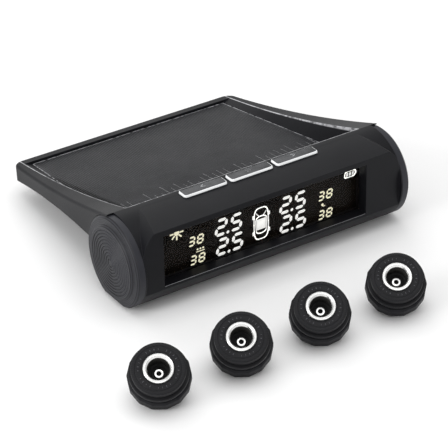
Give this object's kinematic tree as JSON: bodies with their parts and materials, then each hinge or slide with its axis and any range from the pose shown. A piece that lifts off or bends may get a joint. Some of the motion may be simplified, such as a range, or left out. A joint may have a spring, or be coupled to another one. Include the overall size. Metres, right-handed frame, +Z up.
{
  "type": "tire pressure monitor",
  "caption": "Solar dashboard display with a roller-shaped body, sloping solar wing and top buttons, with screw-on valve-cap pressure sensors.",
  "frame": {"origin": "centre of the base pad's underside, on the surface the unit stands on", "axes": "+X to the right seen from the display, +Y towards the rear of the wing, +Z up; the display faces -Y"},
  "size_m": [0.1383, 0.1496, 0.0322],
  "materials": {
    "housing_plastic": "fine matte moulded texture",
    "end_cap_plastic": "matte with fine concentric rings",
    "smoked_lens": "glossy smoked acrylic",
    "lcd_glass": "polarised glass with light segments",
    "white_diffuser": "satin",
    "frame_plastic": "matte",
    "board_green": "solder mask",
    "panel_cover": "clear resin over cells",
    "panel_cells": "amorphous cells",
    "button_grey": "translucent smoked silver",
    "switch_metal": "brushed",
    "cell_wrap": "shrink sleeve",
    "foam": "soft foam",
    "buzzer_black": "matte",
    "copper_wire": "enamelled copper",
    "tin_plate": "tinned",
    "pad_rubber": "soft non-slip",
    "screw_steel": "zinc plated",
    "sensor_plastic": "matte glass-filled nylon",
    "sensor_face": "matte with fine turned ring",
    "insert_metal": "nickel plated, turned",
    "seal_rubber": "soft",
    "pin_metal": "turned",
    "cell_steel": "bright can"
  },
  "bodies": {
    "display_unit": {"main_housing": "housing_plastic", "base_cover": "housing_plastic", "left_end_cap": "end_cap_plastic", "right_end_cap": "end_cap_plastic", "display_lens": "smoked_lens", "lcd_panel": "lcd_glass", "backlight": "white_diffuser", "lcd_frame": "frame_plastic", "main_board": "board_green", "button_board": "board_green", "tact_switches": "switch_metal", "solar_glass": "panel_cover", "solar_cells": "panel_cells", "battery_cell": "cell_wrap", "battery_cradle": "foam", "buzzer": "buzzer_black", "antenna_coil": "copper_wire", "rf_shield": "tin_plate", "usb_inlet": "tin_plate", "base_pad": "pad_rubber", "rear_foot": "pad_rubber", "base_screws": "screw_steel"},
    "button_left_key": {"button_left": "button_grey"},
    "button_set_key": {"button_set": "button_grey"},
    "button_right_key": {"button_right": "button_grey"},
    "sensor_1_rear": {"sensor_1_cap": "sensor_plastic"},
    "sensor_1_front": {"sensor_1_base": "sensor_face", "sensor_1_insert": "insert_metal", "sensor_1_valve_seal": "seal_rubber", "sensor_1_depressor": "pin_metal", "sensor_1_board": "board_green", "sensor_1_cell": "cell_steel"},
    "sensor_1_ring": {"sensor_1_cap_seal": "seal_rubber"},
    "sensor_2_rear": {"sensor_2_cap": "sensor_plastic"},
    "sensor_2_front": {"sensor_2_base": "sensor_face", "sensor_2_insert": "insert_metal", "sensor_2_valve_seal": "seal_rubber", "sensor_2_depressor": "pin_metal", "sensor_2_board": "board_green", "sensor_2_cell": "cell_steel"},
    "sensor_2_ring": {"sensor_2_cap_seal": "seal_rubber"},
    "sensor_3_rear": {"sensor_3_cap": "sensor_plastic"},
    "sensor_3_front": {"sensor_3_base": "sensor_face", "sensor_3_insert": "insert_metal", "sensor_3_valve_seal": "seal_rubber", "sensor_3_depressor": "pin_metal", "sensor_3_board": "board_green", "sensor_3_cell": "cell_steel"},
    "sensor_3_ring": {"sensor_3_cap_seal": "seal_rubber"},
    "sensor_4_rear": {"sensor_4_cap": "sensor_plastic"},
    "sensor_4_front": {"sensor_4_base": "sensor_face", "sensor_4_insert": "insert_metal", "sensor_4_valve_seal": "seal_rubber", "sensor_4_depressor": "pin_metal", "sensor_4_board": "board_green", "sensor_4_cell": "cell_steel"},
    "sensor_4_ring": {"sensor_4_cap_seal": "seal_rubber"}
  },
  "joints": [
    {"name": "press_left", "type": "slide", "parent": "display_unit", "child": "button_left_key", "axis": [0, 0, -1], "range_m": [0, 0.0007], "stiffness_N_per_m": 900, "springref_m": -0.0002},
    {"name": "press_set", "type": "slide", "parent": "display_unit", "child": "button_set_key", "axis": [0, 0, -1], "range_m": [0, 0.0007], "stiffness_N_per_m": 900, "springref_m": -0.0002},
    {"name": "press_right", "type": "slide", "parent": "display_unit", "child": "button_right_key", "axis": [0, 0, -1], "range_m": [0, 0.0007], "stiffness_N_per_m": 900, "springref_m": -0.0002},
    {"name": "sensor_1_lift", "type": "slide", "parent": "display_unit", "child": "sensor_1_rear", "axis": [0, 0, 1], "range_m": [0, 0.06]},
    {"name": "sensor_1_run_out", "type": "slide", "parent": "sensor_1_rear", "child": "sensor_1_ring", "axis": [-0.3316, -0.5029, 0.7982], "range_m": [0, 0.00401]},
    {"name": "sensor_1_unscrew", "type": "hinge", "parent": "sensor_1_ring", "child": "sensor_1_front", "pos_m": [-0.07289, -0.05673, 0.00989], "axis": [-0.3316, -0.5029, 0.7982], "range_deg": [0, 1440]},
    {"name": "sensor_2_lift", "type": "slide", "parent": "display_unit", "child": "sensor_2_rear", "axis": [0, 0, 1], "range_m": [0, 0.06]},
    {"name": "sensor_2_run_out", "type": "slide", "parent": "sensor_2_rear", "child": "sensor_2_ring", "axis": [-0.3316, -0.5029, 0.7982], "range_m": [0, 0.00401]},
    {"name": "sensor_2_unscrew", "type": "hinge", "parent": "sensor_2_ring", "child": "sensor_2_front", "pos_m": [-0.04258, -0.05673, 0.00989], "axis": [-0.3316, -0.5029, 0.7982], "range_deg": [0, 1440]},
    {"name": "sensor_3_lift", "type": "slide", "parent": "display_unit", "child": "sensor_3_rear", "axis": [0, 0, 1], "range_m": [0, 0.06]},
    {"name": "sensor_3_run_out", "type": "slide", "parent": "sensor_3_rear", "child": "sensor_3_ring", "axis": [-0.3316, -0.5029, 0.7982], "range_m": [0, 0.00401]},
    {"name": "sensor_3_unscrew", "type": "hinge", "parent": "sensor_3_ring", "child": "sensor_3_front", "pos_m": [-0.01229, -0.05673, 0.00989], "axis": [-0.3316, -0.5029, 0.7982], "range_deg": [0, 1440]},
    {"name": "sensor_4_lift", "type": "slide", "parent": "display_unit", "child": "sensor_4_rear", "axis": [0, 0, 1], "range_m": [0, 0.06]},
    {"name": "sensor_4_run_out", "type": "slide", "parent": "sensor_4_rear", "child": "sensor_4_ring", "axis": [-0.3316, -0.5029, 0.7982], "range_m": [0, 0.00401]},
    {"name": "sensor_4_unscrew", "type": "hinge", "parent": "sensor_4_ring", "child": "sensor_4_front", "pos_m": [0.01801, -0.05673, 0.00989], "axis": [-0.3316, -0.5029, 0.7982], "range_deg": [0, 1440]}
  ],
  "couplings": [
    {"joint": "sensor_1_run_out", "follows": "sensor_1_unscrew", "m_per_rad": 0.00015915},
    {"joint": "sensor_2_run_out", "follows": "sensor_2_unscrew", "m_per_rad": 0.00015915},
    {"joint": "sensor_3_run_out", "follows": "sensor_3_unscrew", "m_per_rad": 0.00015915},
    {"joint": "sensor_4_run_out", "follows": "sensor_4_unscrew", "m_per_rad": 0.00015915}
  ]
}
